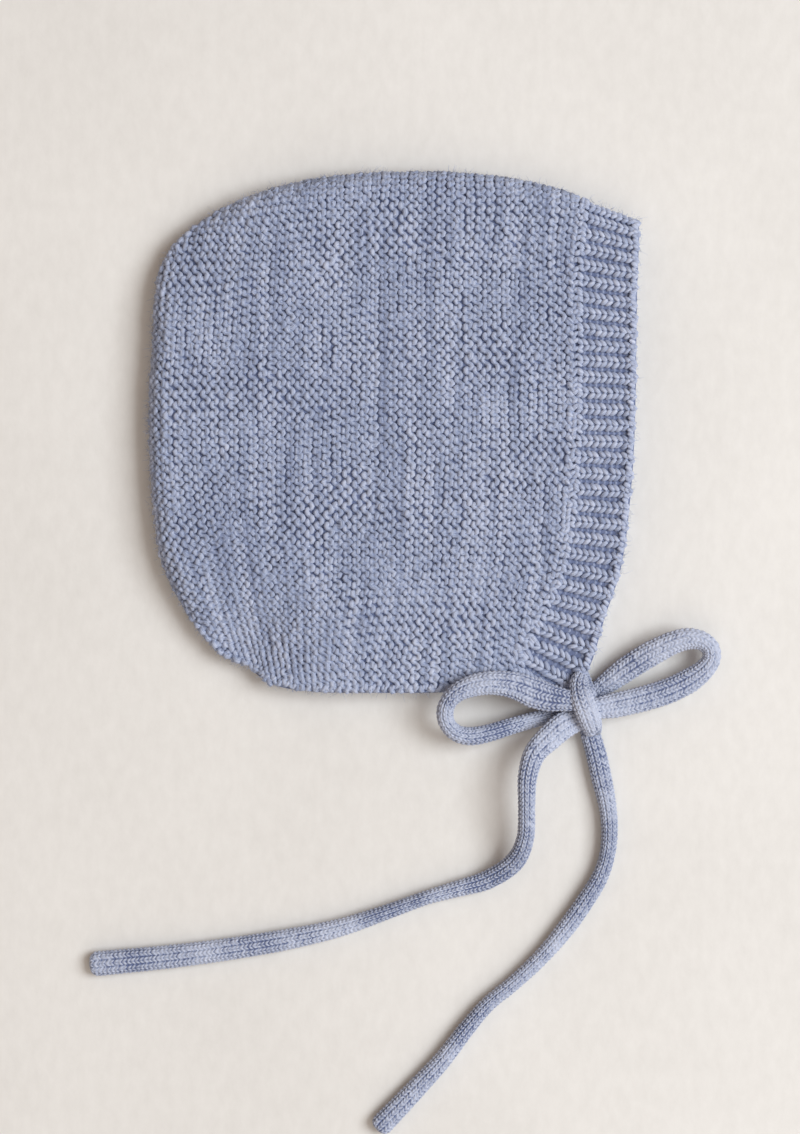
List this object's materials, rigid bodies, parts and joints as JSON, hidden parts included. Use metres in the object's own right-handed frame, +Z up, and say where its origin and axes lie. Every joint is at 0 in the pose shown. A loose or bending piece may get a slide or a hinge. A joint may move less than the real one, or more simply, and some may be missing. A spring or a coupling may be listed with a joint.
{
  "type": "baby bonnet",
  "caption": "Knitted baby bonnet lying flat, garter-knit crown with a ribbed face brim, open at face and neck, two knitted tie cords in a bow.",
  "frame": {"origin": "bottom centre of the bonnet as it lies folded flat, on the surface it rests on, its tie cords not counted", "axes": "+X from the back of the head to the face edge, +Y from the neck edge to the crown fold, +Z up from the surface through both layers"},
  "size_m": [0.1905, 0.2907, 0.0138],
  "materials": {
    "crown_wool": "heathered periwinkle-blue wool in garter stitch, matt and slightly fuzzy",
    "brim_wool": "the same heathered wool in one-by-one rib, matt",
    "cord_wool": "the same heathered wool in fine tubular knit, matt"
  },
  "bodies": {
    "root": {"crown": "crown_wool", "brim": "brim_wool", "tie_knot": "cord_wool", "tie_loop_left": "cord_wool", "tie_loop_right": "cord_wool", "tie_tail_left": "cord_wool", "tie_tail_right": "cord_wool"}
  },
  "joints": []
}
